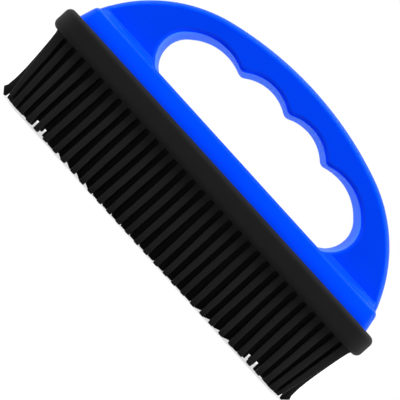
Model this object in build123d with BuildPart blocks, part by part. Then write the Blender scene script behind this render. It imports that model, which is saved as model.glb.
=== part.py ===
from build123d import *
import os
from math import cos, hypot, radians, sin, sqrt, tan

# Pet hair brush, in millimetres. X runs along the head, Y through the loop, Z up from the bristle tips.

# Rubber head: a thick rounded slab, hollow for the handle's flange.
head_length = 180.0
head_width = 46.0
head_thickness = 10.15
head_corner = 11.0
head_top_round = 2.6
head_bottom_round = 2.8
head_wall = 2.0
lip_thickness = 2.7
floor_thickness = 3.0

# Moulded bristles, in rows that alternate between whole and half pitches.
bristle_length = 33.7
bristle_root = 3.0
bristle_tip = 2.4
bristle_column_gap = 2.3
bristle_row_gap = 0.7
bristle_end_inset = 6.6
bristle_side_inset = 6.1
bristle_sink = 0.8
corner_lean = 5.6
corner_lean_reach = 20.0
corner_lean_power = 1.3
corner_row_power = 4.0
end_lift = 1.2
flat_half_length = 30.0
side_splay = 0.7
tip_sway = 0.3
sway_turn_by_column = 1.7
sway_turn_by_row = 2.3

# Handle foot: a drafted block that stands on the rubber, with a neck and a flange below it.
foot_overhang = 5.35
foot_height = 8.2
foot_draft = 14.0
foot_corner = 5.0
foot_round = 2.6
neck_groove = 3.0
neck_corner = 2.0
fit_clearance = 0.1

# Handle loop: a flat D whose ends run down into the ends of the foot, with a ramp along each leg's base.
ledge_width = 3.8
loop_height = 41.55
loop_tuck = 0.02
crown_radius = 148.5
crown_half_span = 42.5
rim_round = 2.4
ramp_height = 2.2
ramp_reach = 1.75
ramp_root = 1.0
ramp_lip_inner = 0.12
ramp_lip_outer = 0.6
ramp_end_inset = 2.6

# Hand opening: four finger grooves under the crown, parted by three ridges.
leg_width = 27.7
opening_belly = 11.0
opening_floor_inset = 6.6
opening_end_radius = 11.6
opening_end_turn = 51.0
inner_grip = 10.7
outer_grip = 10.2
finger_pitch = 25.1
middle_ridge_drop = 14.6
side_ridge_drop = 14.9
ridge_round = 3.4
opening_bevel = 1.2

# Heights of the shared faces.
head_bottom = bristle_length
head_top = head_bottom + head_thickness
floor_top = head_bottom + floor_thickness
lip_bottom = head_top - lip_thickness
foot_top = head_top + foot_height
loop_top = foot_top + loop_height

# Plan sizes that follow from the head.
inner_length = head_length - 2 * head_wall
inner_width = head_width - 2 * head_wall
inner_corner = head_corner - head_wall
foot_length = head_length - 2 * foot_overhang
foot_width = head_width - 2 * foot_overhang
neck_length = foot_length - 2 * neck_groove
neck_width = foot_width - 2 * neck_groove
foot_taper = foot_height * tan(radians(foot_draft))
loop_thickness = foot_width - 2 * (foot_taper + ledge_width)
loop_face_y = -loop_thickness / 2

# The loop ends on the foot's end walls, where the rounding of the foot's top edge begins.
loop_end_z = foot_top - foot_round * (1 - sin(radians(foot_draft)))
loop_end_x = foot_length / 2 - (loop_end_z - head_top) * tan(radians(foot_draft)) - loop_tuck
opening_half = loop_end_x - leg_width


def below_crown(x, drop):
    """A point of the loop's outline plane, so far below the outer crown at x."""
    return (x, loop_top - crown_radius + sqrt(crown_radius**2 - x**2) - drop)


# Rubber collar: the slab's walls and the lip that holds the flange down.
with BuildPart() as rubber_collar:
    with BuildSketch(Plane.XY.offset(head_bottom)):
        RectangleRounded(head_length, head_width, head_corner)
    extrude(amount=head_thickness)
    fillet(rubber_collar.faces().sort_by(Axis.Z)[-1].edges(), radius=head_top_round)
    fillet(rubber_collar.faces().sort_by(Axis.Z)[0].edges(), radius=head_bottom_round)
    with BuildSketch(Plane.XY.offset(head_bottom)):
        RectangleRounded(inner_length, inner_width, inner_corner)
    extrude(amount=head_thickness - lip_thickness, mode=Mode.SUBTRACT)
    with BuildSketch(Plane.XY.offset(lip_bottom)):
        RectangleRounded(
            neck_length + 2 * fit_clearance,
            neck_width + 2 * fit_clearance,
            neck_corner + fit_clearance,
        )
    extrude(amount=lip_thickness, mode=Mode.SUBTRACT)


# Bristle field: strands on the slab's floor. Those at the corners lean inwards, and the ends stop a little higher.
end_column_x = head_length / 2 - bristle_end_inset
side_row_y = head_width / 2 - bristle_side_inset
column_steps = int(2 * end_column_x / (bristle_root + bristle_column_gap))
row_steps = int(2 * side_row_y / (bristle_root + bristle_row_gap))
column_pitch = 2 * end_column_x / column_steps
row_pitch = 2 * side_row_y / row_steps


def strand(x, y, sway):
    """One four-sided bristle that tapers, leans, sways and ends flat."""
    endness = max(0.0, 1 - (end_column_x - abs(x)) / corner_lean_reach) ** corner_lean_power
    lean = corner_lean * endness * abs(y / side_row_y) ** corner_row_power
    lean_x = -lean if x > 0 else lean
    splay = side_splay * y / side_row_y
    lift = end_lift * max(0.0, (abs(x) - flat_half_length) / (end_column_x - flat_half_length))
    with BuildPart() as rod:
        with BuildSketch(Plane((x, y, head_bottom + bristle_sink))):
            Rectangle(bristle_root, bristle_root)
        with BuildSketch(Plane((x + lean_x + sway, y + splay, lift))):
            Rectangle(bristle_tip, bristle_tip)
        loft(ruled=True)
    return rod.part


def on_floor(x, y):
    """Whether a bristle's root lies inside the rounded corner of the floor."""
    past_x = abs(x) + bristle_root / 2 - (inner_length / 2 - inner_corner)
    past_y = abs(y) + bristle_root / 2 - (inner_width / 2 - inner_corner)
    return hypot(max(past_x, 0), max(past_y, 0)) < inner_corner - fit_clearance


strands = []
for row in range(row_steps + 1):
    row_y = row * row_pitch - side_row_y
    half_step = row % 2
    for column in range(column_steps + 1 - half_step):
        column_x = (column + half_step / 2) * column_pitch - end_column_x
        sway = tip_sway * sin(sway_turn_by_column * column + sway_turn_by_row * row)
        if on_floor(column_x, row_y):
            strands.append(strand(column_x, row_y, sway))

with BuildPart() as bristle_field:
    with BuildSketch(Plane.XY.offset(head_bottom)):
        RectangleRounded(
            inner_length - 2 * fit_clearance,
            inner_width - 2 * fit_clearance,
            inner_corner - fit_clearance,
        )
    extrude(amount=floor_thickness)
    add(strands)


# Outline of the loop: a shallow crown running into a tighter arc at each side, down into the foot.
with BuildSketch(Plane.XZ) as loop_face:
    with BuildLine():
        crown_ends = [below_crown(-crown_half_span, 0), below_crown(crown_half_span, 0)]
        crown = ThreePointArc(crown_ends[0], (0, loop_top), crown_ends[1])
        side = TangentArc(crown @ 1, (loop_end_x, loop_end_z), tangent=crown % 1)
        mirror(side, about=Plane.YZ)
        Line((-loop_end_x, loop_end_z), (loop_end_x, loop_end_z))
    make_face()

# Outline of the hand opening, drawn on one side and mirrored.
belly_height = foot_top + opening_belly
end_centre_x = opening_half - opening_end_radius
end_turn_x = end_centre_x + opening_end_radius * cos(radians(opening_end_turn))
end_turn_z = belly_height + opening_end_radius * sin(radians(opening_end_turn))
floor_half = opening_half - opening_floor_inset
middle_ridge = below_crown(0, middle_ridge_drop)
side_ridge = below_crown(finger_pitch, side_ridge_drop)

with BuildSketch(Plane.XZ) as opening_face:
    with BuildLine():
        ThreePointArc(middle_ridge, below_crown(finger_pitch / 2, inner_grip), side_ridge)
        ThreePointArc(side_ridge, below_crown(finger_pitch * 1.5, outer_grip), (end_turn_x, end_turn_z))
        CenterArc((end_centre_x, belly_height), opening_end_radius, 0, opening_end_turn)
        TangentArc((opening_half, belly_height), (floor_half, foot_top), tangent=(0, -1))
        Line((floor_half, foot_top), (0, foot_top))
        mirror(about=Plane.YZ)
    make_face()
    fillet(opening_face.vertices().sort_by(Axis.Y)[-3:], radius=ridge_round)

# Loop: the D less the hand opening, with a rounded rim and a bevelled opening.
with BuildPart() as loop:
    extrude(loop_face.sketch, amount=loop_thickness / 2, both=True)
    fillet(loop.edges().filter_by(GeomType.CIRCLE), radius=rim_round)
    extrude(opening_face.sketch, amount=loop_thickness, both=True, mode=Mode.SUBTRACT)
    opening_arcs = loop.edges(Select.LAST).filter_by(GeomType.CIRCLE).group_by(Axis.Y)
    chamfer(opening_arcs[0] + opening_arcs[-1], length=opening_bevel)

# Ramps: each leg's faces flare out to the foot, under a lip that grows towards the end of the loop.
with BuildPart() as ramps:
    for ramp_x, lip in ((floor_half, ramp_lip_inner), (loop_end_x - ramp_end_inset, ramp_lip_outer)):
        with BuildSketch(Plane.YZ.offset(ramp_x)):
            with BuildLine():
                Polyline(
                    (loop_face_y + ramp_root, foot_top),
                    (loop_face_y - ramp_reach, foot_top),
                    (loop_face_y - lip, foot_top + ramp_height),
                    (loop_face_y + ramp_root, foot_top + ramp_height),
                    close=True,
                )
            make_face()
    loft(ruled=True)
    mirror(about=Plane.YZ)
    mirror(about=Plane.XZ)
    extrude(opening_face.sketch, amount=foot_width, both=True, mode=Mode.SUBTRACT)

# Handle: flange, neck and foot, then the loop that stands on them.
with BuildPart() as handle:
    with BuildSketch(Plane.XY.offset(head_top)):
        RectangleRounded(foot_length, foot_width, foot_corner)
    extrude(amount=foot_height, taper=foot_draft)
    fillet(handle.faces().sort_by(Axis.Z)[-1].edges(), radius=foot_round)
    with BuildSketch(Plane.XY.offset(lip_bottom)):
        RectangleRounded(neck_length, neck_width, neck_corner)
    extrude(amount=lip_thickness)
    with BuildSketch(Plane.XY.offset(floor_top)):
        RectangleRounded(
            inner_length - 2 * fit_clearance,
            inner_width - 2 * fit_clearance,
            inner_corner - fit_clearance,
        )
    extrude(amount=lip_bottom - floor_top)
    add([loop.part, ramps.part])

os.makedirs("parts", exist_ok=True)

handle.part.label = "handle"
export_step(handle.part, "parts/handle.step")
rubber_collar.part.label = "rubber_collar"
export_step(rubber_collar.part, "parts/rubber_collar.step")
bristle_field.part.label = "bristle_field"
export_step(bristle_field.part, "parts/bristle_field.step")
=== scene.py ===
import math
import random

import bmesh
import bpy
from mathutils import Matrix, Vector


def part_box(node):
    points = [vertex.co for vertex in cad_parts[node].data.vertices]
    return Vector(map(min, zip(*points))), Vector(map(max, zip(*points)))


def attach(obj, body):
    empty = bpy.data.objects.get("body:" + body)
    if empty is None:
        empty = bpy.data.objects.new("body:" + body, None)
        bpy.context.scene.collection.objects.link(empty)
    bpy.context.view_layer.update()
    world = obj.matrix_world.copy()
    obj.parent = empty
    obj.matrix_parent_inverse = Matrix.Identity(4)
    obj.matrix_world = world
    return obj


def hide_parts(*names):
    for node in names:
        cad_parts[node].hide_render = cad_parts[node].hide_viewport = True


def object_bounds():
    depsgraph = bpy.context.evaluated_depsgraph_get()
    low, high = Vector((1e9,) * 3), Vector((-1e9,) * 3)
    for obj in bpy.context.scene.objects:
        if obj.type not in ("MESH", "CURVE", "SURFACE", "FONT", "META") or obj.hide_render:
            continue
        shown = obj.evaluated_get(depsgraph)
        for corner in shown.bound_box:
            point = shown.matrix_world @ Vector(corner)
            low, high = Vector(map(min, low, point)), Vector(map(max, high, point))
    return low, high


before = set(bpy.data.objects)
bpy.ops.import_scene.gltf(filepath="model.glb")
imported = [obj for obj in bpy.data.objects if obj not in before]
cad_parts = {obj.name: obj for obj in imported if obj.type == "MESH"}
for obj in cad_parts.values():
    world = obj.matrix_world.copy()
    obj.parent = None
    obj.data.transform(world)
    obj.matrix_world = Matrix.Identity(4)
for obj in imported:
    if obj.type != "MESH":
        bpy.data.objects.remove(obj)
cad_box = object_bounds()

# A pet hair brush: a glossy blue loop handle in a black rubber head with moulded rubber bristles.
# Metres, in the frame of the solids: X along the head, Y through the loop, Z up from the bristle tips.
MM = 0.001

# Sizes read from the solids.
collar_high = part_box("rubber_collar")[1]
floor_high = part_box("bristle_field")[1]
HEAD_HALF_X = collar_high.x
HEAD_HALF_Y = collar_high.y
HEAD_TOP = collar_high.z
FLOOR_TOP = floor_high.z

# Rubber head: the slab's rounded edges, and the cavity and lip that hold the handle.
FLOOR_THICKNESS = 3.0 * MM
LIP_THICKNESS = 2.7 * MM
HEAD_BOTTOM = FLOOR_TOP - FLOOR_THICKNESS
LIP_BOTTOM = HEAD_TOP - LIP_THICKNESS
HEAD_CORNER = 11.0 * MM
HEAD_TOP_ROUND = 2.6 * MM
HEAD_BOTTOM_ROUND = 2.8 * MM
HEAD_WALL = 2.0 * MM
NECK_INSET = 8.25 * MM
NECK_CORNER = 2.1 * MM
CORNER_STEPS = 10
ROUND_STEPS = 7

# Bristles: rows that alternate between whole and half pitches, and the form of one bristle.
BRISTLE_COLUMNS = 32
BRISTLE_ROWS = 10
BRISTLE_END_INSET = 6.6 * MM
BRISTLE_SIDE_INSET = 6.1 * MM
BRISTLE_END_X = HEAD_HALF_X - BRISTLE_END_INSET
BRISTLE_SIDE_Y = HEAD_HALF_Y - BRISTLE_SIDE_INSET
BRISTLE_ROOT = 3.0 * MM
BRISTLE_TIP = 2.4 * MM
BRISTLE_SINK = 0.8 * MM
ROOT_FLARE = 0.25 * MM
ROOT_FLARE_LENGTH = 1.4 * MM
FLARE_BEND = 0.4
FLARE_REST = 0.3
TIP_ROUND = 0.3 * MM
TIP_BEND = 0.3
EDGE_ROUND = 0.45 * MM
EDGE_POINTS = 3
STRAND_RINGS = 9
SEED = 11

# The outer rows end in slim tips, and the rows between them in fuller, crisper ones.
OUTER_ROW_SHARE = 0.95
SECOND_ROW_SHARE = 0.7
INNER_TIP = 3.0 * MM
INNER_TIP_ROUND = 0.1 * MM

# How the bristles stand: those at the corners lean inwards, and each one sways a little.
CORNER_LEAN = 4.85 * MM
CORNER_LEAN_REACH = 28.0 * MM
CORNER_LEAN_POWER = 2.28
CORNER_ROW_POWER = 4.0
CORNER_ROOT_GROWTH = 0.35
CORNER_TIP_GROWTH = -0.3
CORNER_INSET = 0.2 * MM
LEAN_POWER = 1.15
SIDE_SPLAY = 0.7 * MM
LENGTH_SPLAY = 0.5 * MM
TIP_SWAY = 0.3 * MM
BOW_SHARE = 0.7
STRAND_TURN = math.radians(4)

# The last columns curve in and spread again at their tips, which are cut on a slant.
LAST_COLUMN_POWER = 8
END_TIP_GROWTH = 0.3
END_TIP_CUT = 2.8 * MM
END_OUTSET = 2.3 * MM
END_SWEEP = 4.5 * MM
END_FLARE = 2.8 * MM
END_FLARE_POWER = 5
SLANT_SLOPE = 0.6
SLANT_LEVEL = 0.4

# The line of the tips: slightly uneven, and rising towards the ends, most in the outer rows.
END_LIFT = 1.1 * MM
END_LIFT_ROW_POWER = 3
FLAT_HALF_LENGTH = 31.0 * MM
TIP_UNEVEN = 0.1 * MM

# Wear of the tips behind the front row: on a stretch of each half the second row from each side ends on
# a slant, and the rows between are shorter. Elsewhere all are short in a few places, each with its
# distance from the middle, as the camera sees it at the front row, its half width and its depth.
WORN_FROM = 30.0 * MM
WORN_TO = 52.0 * MM
WORN_SLANT = 1.0 * MM
WORN_DEPTH = 0.6 * MM
WORN_PLACES = (
    (59.55 * MM, 0.3 * MM, 3.3 * MM),
    (64.2 * MM, 0.22 * MM, 3.4 * MM),
    (69.1 * MM, 0.3 * MM, 0.5 * MM),
    (78.9 * MM, 0.5 * MM, 1.8 * MM),
)

# Handle: the foot's bulging front and back, the loop's flatter rim and where the ramps lie.
FOOT_SIDE_HEIGHT = 6.23 * MM
FOOT_TOLERANCE = 0.1 * MM
FOOT_BULGE = 0.28 * MM
FOOT_STRIPS = 6
LOOP_HALF_Y = 11.8056 * MM
RIM_ROUND = 2.4 * MM
RIM_FLATNESS = 1.4
RIM_LOWEST = HEAD_TOP + 11.6 * MM
RIM_TURN_MIN = 0.01
RIM_TURN_MAX = 0.99
RAMP_TOP = HEAD_TOP + 10.5 * MM
RAMP_BACK_Y = 10.9 * MM
OPENING_MIDDLE = Vector((0, 0, HEAD_TOP + 22 * MM))

# Handle: how its facets are joined and its sharp edges softened.
WELD_DISTANCE = 0.002 * MM
FLAT_ANGLE = math.radians(0.3)
EDGE_ANGLE = math.radians(24)
EDGE_SOFTNESS = 0.3 * MM
OPENING_SOFTNESS = 0.65 * MM
SOFT_SEGMENTS = 4
SHADING_WEIGHT = 90

# Parts of a face's normal that tell undersides, the opening's bevel, its walls and its floor.
UNDERSIDE_Z = -0.9
BEVEL_Y_MIN = 0.6
BEVEL_Y_MAX = 0.8
WALL_Y_MAX = 0.3
FLOOR_Z_MIN = 0.9

# Handle plastic: its clouded colour, painted light that makes the opening's walls paler, and its polish on
# faces and sides.
PLASTIC_DEEP = (0.0002, 0.047, 0.85, 1)
PLASTIC_BRIGHT = (0.0003, 0.058, 0.93, 1)
CLOUD_SCALE = 26
CLOUD_DETAIL = 3
# Painted light: the opening's walls get a paler colour in place of the light and reflections they catch,
# most where they face down.
WALL_PAINTED_LIGHT = (0.0003, 0.265, 0.76, 1)
WALL_SIDE_PAINTED_LIGHT = 0.3
SIDE_LOOK = 0.1
FACE_LOOK = 0.6
WALL_ROUGHNESS = 0.52
FACE_ROUGHNESS = 0.24
POLISH_UNEVENNESS = 0.06
PLASTIC_SPECULAR = 0.06
PLASTIC_GRAIN_SCALE = 2600
PLASTIC_GRAIN_DETAIL = 2
PLASTIC_GRAIN_STRENGTH = 0.04
PLASTIC_GRAIN_DEPTH = 0.02 * MM

# Rubber: its dark and pale greys, its dust and its moulded grain.
HEAD_DARK = (0.0097, 0.0097, 0.0097, 1)
HEAD_PALE = (0.0137, 0.0137, 0.0137, 1)
HEAD_GRAIN_SCALE = 1500
BRISTLE_DARK = (0.0094, 0.0094, 0.0094, 1)
BRISTLE_PALE = (0.0131, 0.0131, 0.0131, 1)
BRISTLE_GRAIN_SCALE = 1700
OWN_TONE_SHARE = 0.5
DUST_SCALE = 90
DUST_DETAIL = 5
RUBBER_ROUGHNESS_MIN = 0.55
RUBBER_ROUGHNESS_MAX = 0.72
RUBBER_SPECULAR = 0.07
RUBBER_GRAIN_DETAIL = 3
RUBBER_GRAIN_STRENGTH = 0.25
RUBBER_GRAIN_DEPTH = 0.05 * MM

# Floor and surroundings: white to the camera, with the shadow kept.
FLOOR_SIZE = 3.0
FLOOR_GLOW = 0.7
FLOOR_COLOUR = (0.18, 0.18, 0.18, 1)
WHITE = (1, 1, 1, 1)
BACKDROP_LIGHT = 3.6
BACKDROP_FROM_Y = -0.15
BACKDROP_FULL_Y = 0.35
ROOM_BEHIND_CAMERA = 0.01

# Softboxes: a weak one overhead that shows in the edges, and a pair at the sides. Powers are in watts.
EDGE_LIGHT_PLACE = (0.0, 0.05, 1.30)
EDGE_LIGHT_SIZE = 0.8
EDGE_LIGHT_POWER = 5.0
SIDE_LIGHT_X = 1.22
SIDE_LIGHT_Y = -0.25
SIDE_LIGHT_Z = 0.78
SIDE_LIGHT_SIZE = 0.9
SIDE_LIGHT_POWER = 41.0

# Camera: level, square to the loop's face, and turned about its own axis as the brush lies in the picture.
CAMERA_PLACE = Vector((0.0, -0.380, 0.04015))
CAMERA_ROLL = math.radians(47.77)
CAMERA_LENS = 83.0
CAMERA_SHIFT = (-0.0402, -0.0499)
CAMERA_NEAR = 0.01

# Sockets of a mix node for colours.
MIX_FIRST = 6
MIX_SECOND = 7
MIX_RESULT = 2


def link(name, mesh):
    """A new object for a mesh, in the scene."""
    piece = bpy.data.objects.new(name, mesh)
    bpy.context.scene.collection.objects.link(piece)
    return piece


def mesh_from(name, bm):
    """A smooth-shaded mesh from a bmesh, with faces turned outwards."""
    bmesh.ops.recalc_face_normals(bm, faces=bm.faces)
    mesh = bpy.data.meshes.new(name)
    bm.to_mesh(mesh)
    bm.free()
    for polygon in mesh.polygons:
        polygon.use_smooth = True
    return mesh


def mark_sharp(mesh, angle):
    """Marks the edges where the surface turns by more than an angle."""
    bm = bmesh.new()
    bm.from_mesh(mesh)
    for edge in bm.edges:
        edge.smooth = len(edge.link_faces) == 2 and edge.calc_face_angle(0) < angle
    bm.to_mesh(mesh)
    bm.free()


def skin(bm, loops):
    """Quads between closed loops of equal length, with a cap on the first and the last."""
    rings = [[bm.verts.new(point) for point in loop] for loop in loops]
    count = len(rings[0])
    faces = [bm.faces.new(rings[0]), bm.faces.new(rings[-1])]
    for ring, after in zip(rings, rings[1:]):
        for i in range(count):
            j = (i + 1) % count
            faces.append(bm.faces.new((ring[i], ring[j], after[j], after[i])))
    return faces


def rounded_rectangle(half_x, half_y, corner, z):
    """A loop round a rectangle with rounded corners, at one height."""
    points = []
    for quarter in range(4):
        sign_x = 1 if quarter in (0, 3) else -1
        sign_y = 1 if quarter in (0, 1) else -1
        for step in range(CORNER_STEPS + 1):
            angle = math.radians(90 * (quarter + step / CORNER_STEPS))
            x = sign_x * (half_x - corner) + corner * math.cos(angle)
            y = sign_y * (half_y - corner) + corner * math.sin(angle)
            points.append(Vector((x, y, z)))
    return points


def make_rubber_head():
    """The slab: rounded outside, with its lip, the flange's cavity and the bristles' floor."""
    def ring(inset, z):
        return rounded_rectangle(HEAD_HALF_X - inset, HEAD_HALF_Y - inset, HEAD_CORNER - inset, z)

    def edge(radius, centre_z, first, last):
        for step in range(ROUND_STEPS + 1):
            angle = math.radians(first + (last - first) * step / ROUND_STEPS)
            yield ring(radius * (1 - math.cos(angle)), centre_z + radius * math.sin(angle))

    neck = rounded_rectangle(HEAD_HALF_X - NECK_INSET, HEAD_HALF_Y - NECK_INSET, NECK_CORNER, HEAD_TOP)
    loops = []
    loops += edge(HEAD_BOTTOM_ROUND, HEAD_BOTTOM + HEAD_BOTTOM_ROUND, -90, 0)
    loops += edge(HEAD_TOP_ROUND, HEAD_TOP - HEAD_TOP_ROUND, 0, 90)
    loops.append(neck)
    loops.append([Vector((point.x, point.y, LIP_BOTTOM)) for point in neck])
    loops.append(ring(HEAD_WALL, LIP_BOTTOM))
    loops.append(ring(HEAD_WALL, FLOOR_TOP))
    bm = bmesh.new()
    skin(bm, loops)
    piece = link("rubber_head", mesh_from("rubber_head", bm))
    mark_sharp(piece.data, EDGE_ANGLE)
    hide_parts("rubber_collar")
    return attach(piece, "root")


def section(half, corner, turn):
    """Points round a square with rounded corners, turned a little about its middle."""
    points = []
    middle = Vector((half - corner, half - corner))
    for quarter in range(4):
        for step in range(EDGE_POINTS):
            angle = math.radians(90 * step / (EDGE_POINTS - 1))
            point = middle + corner * Vector((math.cos(angle), math.sin(angle)))
            point.rotate(Matrix.Rotation(turn + math.radians(90 * quarter), 2))
            points.append(point)
    return points


def worn_tip(x, y):
    """How much shorter a bristle behind the front row is, and how much its tip is cut on a slant."""
    sideness = abs(y / BRISTLE_SIDE_Y)
    outer_row = sideness > OUTER_ROW_SHARE
    if outer_row and y < 0:
        return 0.0, 0.0
    if not outer_row and WORN_FROM < abs(x) < WORN_TO:
        return (0.0, WORN_SLANT) if sideness > SECOND_ROW_SHARE else (WORN_DEPTH, 0.0)
    # Where the camera sees the tip, carried forward to the front row.
    camera_reach = -CAMERA_PLACE.y
    to_front = (camera_reach - BRISTLE_SIDE_Y) / (camera_reach + y)
    tip_x = abs(x) * to_front
    tip_half = INNER_TIP / 2 * to_front
    depths = [depth for place, half, depth in WORN_PLACES if abs(tip_x - place) < half + tip_half]
    return max(depths, default=0.0), 0.0


def strand(bm, tone_layer, x, y, rng):
    """One bristle: flared at its root, tapered, gently bent and blunt at its tip."""
    outwards = math.copysign(1, x)
    sideness = abs(y / BRISTLE_SIDE_Y)
    outer_row = sideness > OUTER_ROW_SHARE
    cornerness = sideness ** CORNER_ROW_POWER
    endness = max(0.0, 1 - (BRISTLE_END_X - abs(x)) / CORNER_LEAN_REACH) ** CORNER_LEAN_POWER
    last = endness ** LAST_COLUMN_POWER
    freedom = 1 - endness

    # How it stands, with a tone of its own.
    lean = -outwards * CORNER_LEAN * endness * cornerness
    inset = -outwards * CORNER_INSET * last * cornerness
    spread = outwards * last * (1 - cornerness)
    splay_x = LENGTH_SPLAY * freedom * x / BRISTLE_END_X
    splay_y = SIDE_SPLAY * y / BRISTLE_SIDE_Y
    sway_x = TIP_SWAY * freedom * rng.uniform(-1, 1)
    sway_y = TIP_SWAY * rng.uniform(-1, 1)
    bow = TIP_SWAY * freedom * rng.uniform(-BOW_SHARE, BOW_SHARE)
    turn = STRAND_TURN * freedom * rng.uniform(-1, 1)
    tone = rng.random()

    # How thick it is, and where and how its tip ends.
    root_half = BRISTLE_ROOT / 2 * (1 + CORNER_ROOT_GROWTH * last * cornerness)
    tip_growth = CORNER_TIP_GROWTH * cornerness + END_TIP_GROWTH * (1 - cornerness)
    fullness = 0.0 if outer_row else (INNER_TIP - BRISTLE_TIP) * (1 - last)
    tip_half = (BRISTLE_TIP + fullness) / 2 * (1 + tip_growth * last)
    tip_round = TIP_ROUND if outer_row else INNER_TIP_ROUND
    worn, slant = worn_tip(x, y)
    cut = END_TIP_CUT * last * (1 - cornerness) + slant
    past_flat = max(0.0, abs(x) - FLAT_HALF_LENGTH) / (BRISTLE_END_X - FLAT_HALF_LENGTH)
    lift = END_LIFT * past_flat * sideness ** END_LIFT_ROW_POWER
    tip_z = lift + TIP_UNEVEN * rng.random() + worn
    length = HEAD_BOTTOM - tip_z

    def ring(share, grow, cut_here=0.0):
        bend = share * share * (3 - 2 * share)
        side = inset + lean * share ** LEAN_POWER + splay_x * share + sway_x * bend
        side += bow * math.sin(math.pi * share)
        side += spread * (END_OUTSET - END_SWEEP * share + END_FLARE * share ** END_FLARE_POWER)
        centre = Vector((x + side, y + (splay_y + sway_y) * bend, HEAD_BOTTOM - length * share))
        half = root_half + (tip_half - root_half) * share + grow
        points = []
        for point in section(half, EDGE_ROUND, turn):
            outer = max(0.0, outwards * point.x / half * SLANT_SLOPE + SLANT_LEVEL)
            points.append(centre + point.to_3d() + Vector((0, 0, cut_here * outer)))
        return points

    flare_share = ROOT_FLARE_LENGTH / length
    tip_share = tip_round / length
    loops = [[point + Vector((0, 0, BRISTLE_SINK)) for point in ring(0, ROOT_FLARE)]]
    loops.append(ring(0, ROOT_FLARE))
    loops.append(ring(flare_share * FLARE_BEND, ROOT_FLARE * FLARE_REST))
    for step in range(STRAND_RINGS - 1):
        share = flare_share + (1 - tip_share - flare_share) * step / (STRAND_RINGS - 1)
        loops.append(ring(share, 0))
    loops.append(ring(1 - tip_share, 0, cut))
    loops.append(ring(1 - tip_share * TIP_BEND, -tip_round * TIP_BEND, cut))
    loops.append(ring(1, -tip_round, cut))
    for face in skin(bm, loops):
        face[tone_layer] = tone


def make_bristles():
    """Rows of bristles on the floor of the head, each with its own slight tone."""
    rng = random.Random(SEED)
    column_pitch = 2 * BRISTLE_END_X / (BRISTLE_COLUMNS - 1)
    row_pitch = 2 * BRISTLE_SIDE_Y / (BRISTLE_ROWS - 1)
    bm = bmesh.new()
    tone_layer = bm.faces.layers.float.new("tone")
    for row in range(BRISTLE_ROWS):
        half_step = row % 2
        for column in range(BRISTLE_COLUMNS - half_step):
            x = (column + half_step / 2) * column_pitch - BRISTLE_END_X
            strand(bm, tone_layer, x, row * row_pitch - BRISTLE_SIDE_Y, rng)
    piece = link("bristles", mesh_from("bristles", bm))
    mark_sharp(piece.data, EDGE_ANGLE)
    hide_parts("bristle_field")
    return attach(piece, "root")


def looks_out(face):
    """Whether a face looks away from the middle of the opening, as the loop's outer rim does."""
    away = face.calc_center_median() - OPENING_MIDDLE
    away.y = 0
    return face.normal.dot(away) > 0


def bulge_foot(bm):
    """Cuts the foot's sides into strips, and rounds out its front and back."""
    low = HEAD_TOP - WELD_DISTANCE
    high = HEAD_TOP + FOOT_SIDE_HEIGHT + FOOT_TOLERANCE
    for step in range(1, FOOT_STRIPS):
        height = HEAD_TOP + FOOT_SIDE_HEIGHT * step / FOOT_STRIPS
        sides = [face for face in bm.faces if all(low < vertex.co.z < high for vertex in face.verts)]
        parts = set(sides)
        for face in sides:
            parts.update(face.edges, face.verts)
        bmesh.ops.bisect_plane(bm, geom=list(parts), plane_co=(0, 0, height), plane_no=(0, 0, 1))
    bm.normal_update()
    for vertex in bm.verts:
        share = (vertex.co.z - HEAD_TOP) / FOOT_SIDE_HEIGHT
        if 0 < share < 1:
            bulge = 4 * FOOT_BULGE * share * (1 - share) * vertex.normal.y ** 2
            vertex.co.y += math.copysign(bulge, vertex.co.y)


def flatten_rim(bm):
    """Turns the loop's rounded outer edges into flatter ones, nearer to a chamfer with soft corners."""
    inner_y = LOOP_HALF_Y - RIM_ROUND
    bm.normal_update()
    for vertex in bm.verts:
        turn = (abs(vertex.co.y) - inner_y) / RIM_ROUND
        outwards = sum((face.normal * face.calc_area() for face in vertex.link_faces), Vector())
        outwards.y = 0
        on_rim = outwards.dot(vertex.co - OPENING_MIDDLE) > 0 and vertex.co.z > RIM_LOWEST
        if on_rim and RIM_TURN_MIN < turn < RIM_TURN_MAX:
            rise = math.sqrt(1 - turn * turn)
            vertex.co.y = math.copysign(inner_y + RIM_ROUND * turn ** RIM_FLATNESS, vertex.co.y)
            vertex.co -= outwards.normalized() * RIM_ROUND * (rise - rise ** RIM_FLATNESS)


def paint_opening_light(bm):
    """Painted light: how much paler each wall of the opening is made, most on the walls under the crown
    that face down.
    """
    layer = bm.faces.layers.float.new("opening")
    for face in bm.faces:
        upright = abs(face.normal.y) < WALL_Y_MAX and face.normal.z < FLOOR_Z_MIN
        if upright and not looks_out(face):
            face[layer] = WALL_SIDE_PAINTED_LIGHT + (1 - WALL_SIDE_PAINTED_LIGHT) * max(0.0, -face.normal.z)


def soften(bm):
    """Weights the rounding of sharp outer edges: most at the opening's bevel, none under foot or ramps."""
    weight = bm.edges.layers.float.new("bevel_weight_edge")
    for edge in bm.edges:
        if len(edge.link_faces) != 2 or not edge.is_convex or edge.calc_face_angle(0) < EDGE_ANGLE:
            continue
        lowest = min(vertex.co.z for vertex in edge.verts)
        if lowest > RIM_LOWEST and all(looks_out(face) for face in edge.link_faces):
            continue
        underneath = lowest < HEAD_TOP or any(face.normal.z < UNDERSIDE_Z for face in edge.link_faces)
        behind_ramp = max(abs(vertex.co.y) for vertex in edge.verts) < RAMP_BACK_Y
        if lowest < RAMP_TOP and (underneath or behind_ramp):
            edge.smooth = False
            continue
        bevelled = any(BEVEL_Y_MIN < abs(face.normal.y) < BEVEL_Y_MAX for face in edge.link_faces)
        edge[weight] = 1.0 if bevelled else EDGE_SOFTNESS / OPENING_SOFTNESS


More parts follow.
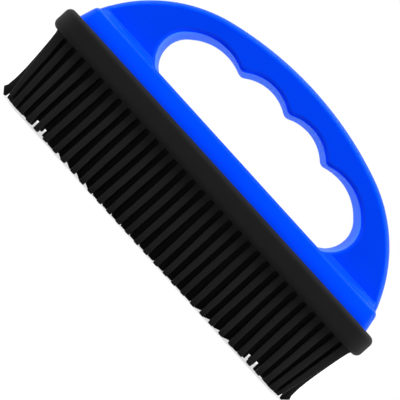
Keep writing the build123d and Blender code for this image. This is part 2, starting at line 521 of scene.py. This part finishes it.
def make_handle():
    """The handle's own form, with joined vertices, softly rounded edges and a fuller foot."""
    bm = bmesh.new()
    bm.from_mesh(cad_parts["handle"].data)
    bmesh.ops.remove_doubles(bm, verts=bm.verts, dist=WELD_DISTANCE)
    bmesh.ops.dissolve_limit(bm, angle_limit=FLAT_ANGLE, verts=bm.verts, edges=bm.edges)
    bmesh.ops.recalc_face_normals(bm, faces=bm.faces)
    bulge_foot(bm)
    flatten_rim(bm)
    paint_opening_light(bm)
    soften(bm)
    piece = link("loop_handle", mesh_from("loop_handle", bm))
    softness = piece.modifiers.new("soft_edges", "BEVEL")
    softness.limit_method = "WEIGHT"
    softness.width = OPENING_SOFTNESS
    softness.segments = SOFT_SEGMENTS
    softness.use_clamp_overlap = False
    weighted = piece.modifiers.new("even_shading", "WEIGHTED_NORMAL")
    weighted.weight = SHADING_WEIGHT
    weighted.keep_sharp = True
    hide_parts("handle")
    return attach(piece, "root")


def new_material(name):
    """A material with the nodes, the links and the shader of its tree."""
    material = bpy.data.materials.new(name)
    material.use_nodes = True
    nodes = material.node_tree.nodes
    return material, nodes, material.node_tree.links, nodes["Principled BSDF"]


def add_noise(nodes, links, scale, detail):
    """A noise pattern that is fixed to the piece."""
    place = nodes.new("ShaderNodeTexCoord")
    noise = nodes.new("ShaderNodeTexNoise")
    noise.inputs["Scale"].default_value = scale
    noise.inputs["Detail"].default_value = detail
    links.new(place.outputs["Object"], noise.inputs["Vector"])
    return noise.outputs["Fac"]


def add_blend(nodes, links, share, first, last):
    """A colour between two others, by a share from 0 to 1."""
    blend = nodes.new("ShaderNodeValToRGB")
    blend.color_ramp.elements[0].color = first
    blend.color_ramp.elements[1].color = last
    links.new(share, blend.inputs["Fac"])
    return blend.outputs["Color"]


def add_map(nodes, links, value, source, target, interpolation="LINEAR"):
    """A value carried over from one range to another."""
    carry = nodes.new("ShaderNodeMapRange")
    carry.interpolation_type = interpolation
    for name, number in zip(("From Min", "From Max", "To Min", "To Max"), (*source, *target)):
        carry.inputs[name].default_value = number
    links.new(value, carry.inputs["Value"])
    return carry.outputs["Result"]


def add_math(nodes, links, operation, *values):
    """An operation on values, each a socket or a plain number."""
    node = nodes.new("ShaderNodeMath")
    node.operation = operation
    for socket, value in zip(node.inputs, values):
        if isinstance(value, bpy.types.NodeSocket):
            links.new(value, socket)
        else:
            socket.default_value = value
    return node.outputs["Value"]


def add_attribute(nodes, name):
    """A value that the faces of a mesh carry."""
    attribute = nodes.new("ShaderNodeAttribute")
    attribute.attribute_name = name
    return attribute.outputs["Fac"]


def add_grain(nodes, links, shader, pattern, strength, depth):
    """Fine relief on a shader, from a pattern."""
    bump = nodes.new("ShaderNodeBump")
    bump.inputs["Strength"].default_value = strength
    bump.inputs["Distance"].default_value = depth
    links.new(pattern, bump.inputs["Height"])
    links.new(bump.outputs["Normal"], shader.inputs["Normal"])


def plastic_material():
    """Moulded blue plastic: faint clouds, an uneven polish, duller sides, and painted light that makes the
    walls in the opening paler.
    """
    material, nodes, links, shader = new_material("blue_plastic")
    cloud = add_noise(nodes, links, CLOUD_SCALE, CLOUD_DETAIL)
    # Painted light: the opening's walls are mixed towards the paler wall colour.
    painted_wall_light = nodes.new("ShaderNodeMix")
    painted_wall_light.data_type = "RGBA"
    painted_wall_light.inputs[MIX_SECOND].default_value = WALL_PAINTED_LIGHT
    links.new(add_attribute(nodes, "opening"), painted_wall_light.inputs["Factor"])
    links.new(add_blend(nodes, links, cloud, PLASTIC_DEEP, PLASTIC_BRIGHT), painted_wall_light.inputs[MIX_FIRST])
    links.new(painted_wall_light.outputs[MIX_RESULT], shader.inputs["Base Color"])

    place = nodes.new("ShaderNodeTexCoord")
    split = nodes.new("ShaderNodeSeparateXYZ")
    links.new(place.outputs["Normal"], split.inputs["Vector"])
    facing = add_math(nodes, links, "ABSOLUTE", split.outputs["Y"])
    polish = add_map(nodes, links, facing, (SIDE_LOOK, FACE_LOOK), (WALL_ROUGHNESS, FACE_ROUGHNESS))
    uneven = add_math(nodes, links, "MULTIPLY_ADD", cloud, POLISH_UNEVENNESS, polish)
    links.new(uneven, shader.inputs["Roughness"])

    grain = add_noise(nodes, links, PLASTIC_GRAIN_SCALE, PLASTIC_GRAIN_DETAIL)
    add_grain(nodes, links, shader, grain, PLASTIC_GRAIN_STRENGTH, PLASTIC_GRAIN_DEPTH)
    shader.inputs["Specular IOR Level"].default_value = PLASTIC_SPECULAR
    return material


def rubber_material(name, dark, pale, grain_scale):
    """Matte black rubber: a fine moulded grain, a slight dusty unevenness and each bristle's own tone."""
    material, nodes, links, shader = new_material(name)
    dust = add_noise(nodes, links, DUST_SCALE, DUST_DETAIL)
    tone = add_math(nodes, links, "MULTIPLY_ADD", add_attribute(nodes, "tone"), OWN_TONE_SHARE, dust)
    dull = add_map(nodes, links, dust, (0, 1), (RUBBER_ROUGHNESS_MIN, RUBBER_ROUGHNESS_MAX))
    grain = add_noise(nodes, links, grain_scale, RUBBER_GRAIN_DETAIL)
    links.new(add_blend(nodes, links, tone, dark, pale), shader.inputs["Base Color"])
    links.new(dull, shader.inputs["Roughness"])
    add_grain(nodes, links, shader, grain, RUBBER_GRAIN_STRENGTH, RUBBER_GRAIN_DEPTH)
    shader.inputs["Specular IOR Level"].default_value = RUBBER_SPECULAR
    return material


def make_floor():
    """A floor at the bristle tips that glows to the camera, in reflections and through glass."""
    bm = bmesh.new()
    bmesh.ops.create_grid(bm, x_segments=1, y_segments=1, size=FLOOR_SIZE / 2)
    floor = link("floor", mesh_from("floor", bm))
    floor.location.z = cad_box[0].z
    material, nodes, links, shader = new_material("floor")
    nodes.remove(shader)
    diffuse = nodes.new("ShaderNodeBsdfDiffuse")
    diffuse.inputs["Color"].default_value = FLOOR_COLOUR
    glow = nodes.new("ShaderNodeEmission")
    glow.inputs["Strength"].default_value = FLOOR_GLOW
    both = nodes.new("ShaderNodeAddShader")
    choice = nodes.new("ShaderNodeMixShader")
    rays = nodes.new("ShaderNodeLightPath").outputs
    mirrored = add_math(nodes, links, "MAXIMUM", rays["Is Camera Ray"], rays["Is Glossy Ray"])
    direct = add_math(nodes, links, "MAXIMUM", mirrored, rays["Is Transmission Ray"])
    links.new(diffuse.outputs["BSDF"], both.inputs[0])
    links.new(glow.outputs["Emission"], both.inputs[1])
    links.new(direct, choice.inputs["Fac"])
    links.new(diffuse.outputs["BSDF"], choice.inputs[1])
    links.new(both.outputs["Shader"], choice.inputs[2])
    links.new(choice.outputs["Shader"], nodes["Material Output"].inputs["Surface"])
    floor.data.materials.append(material)


def make_world():
    """A white backdrop behind the brush, which dims towards the room behind the camera."""
    world = bpy.data.worlds.new("studio")
    bpy.context.scene.world = world
    world.use_nodes = True
    nodes = world.node_tree.nodes
    links = world.node_tree.links
    backdrop = nodes["Background"]
    backdrop.inputs["Color"].default_value = WHITE
    place = nodes.new("ShaderNodeTexCoord")
    split = nodes.new("ShaderNodeSeparateXYZ")
    links.new(place.outputs["Generated"], split.inputs["Vector"])
    reach = (BACKDROP_FROM_Y, BACKDROP_FULL_Y)
    glow = add_map(nodes, links, split.outputs["Y"], reach, (ROOM_BEHIND_CAMERA, 1), "SMOOTHSTEP")
    rays = nodes.new("ShaderNodeLightPath").outputs
    level = add_map(nodes, links, rays["Is Glossy Ray"], (0, 1), (BACKDROP_LIGHT, 1))
    direct = add_math(nodes, links, "MAXIMUM", rays["Is Camera Ray"], rays["Is Transmission Ray"])
    seen = nodes.new("ShaderNodeMix")
    links.new(direct, seen.inputs["Factor"])
    links.new(add_math(nodes, links, "MULTIPLY", glow, level), seen.inputs["A"])
    seen.inputs["B"].default_value = 1
    links.new(seen.outputs["Result"], backdrop.inputs["Strength"])


def make_softbox(name, place, size, power, mirrored):
    """A square soft light that faces the brush, mirrored in its surfaces or only lighting them."""
    data = bpy.data.lights.new(name, "AREA")
    data.energy = power
    data.size = size
    light = bpy.data.objects.new(name, data)
    light.location = place
    aim = (cad_box[0] + cad_box[1]) / 2 - Vector(place)
    light.rotation_euler = aim.to_track_quat("-Z", "Y").to_euler()
    light.visible_glossy = mirrored
    bpy.context.scene.collection.objects.link(light)


def make_camera():
    """The camera of the picture: a long lens, level with the head."""
    data = bpy.data.cameras.new("camera")
    data.lens = CAMERA_LENS
    data.shift_x, data.shift_y = CAMERA_SHIFT
    data.clip_start = CAMERA_NEAR
    camera = bpy.data.objects.new("camera", data)
    right = Vector((math.cos(CAMERA_ROLL), 0, math.sin(CAMERA_ROLL)))
    up = Vector((-math.sin(CAMERA_ROLL), 0, math.cos(CAMERA_ROLL)))
    back = Vector((0, -1, 0))
    turned = Matrix((right, up, back)).transposed().to_4x4()
    camera.matrix_world = Matrix.Translation(CAMERA_PLACE) @ turned
    bpy.context.scene.collection.objects.link(camera)
    bpy.context.scene.camera = camera


handle = make_handle()
handle.data.materials.append(plastic_material())
head = make_rubber_head()
head.data.materials.append(rubber_material("head_rubber", HEAD_DARK, HEAD_PALE, HEAD_GRAIN_SCALE))
bristles = make_bristles()
bristle_rubber = rubber_material("bristle_rubber", BRISTLE_DARK, BRISTLE_PALE, BRISTLE_GRAIN_SCALE)
bristles.data.materials.append(bristle_rubber)

make_floor()
make_world()
make_softbox("edge_light", EDGE_LIGHT_PLACE, EDGE_LIGHT_SIZE, EDGE_LIGHT_POWER, mirrored=True)
for name, side in (("left_side", -1), ("right_side", 1)):
    place = (side * SIDE_LIGHT_X, SIDE_LIGHT_Y, SIDE_LIGHT_Z)
    make_softbox(name, place, SIDE_LIGHT_SIZE, SIDE_LIGHT_POWER, mirrored=False)
make_camera()
bpy.context.scene.view_settings.view_transform = "Standard"
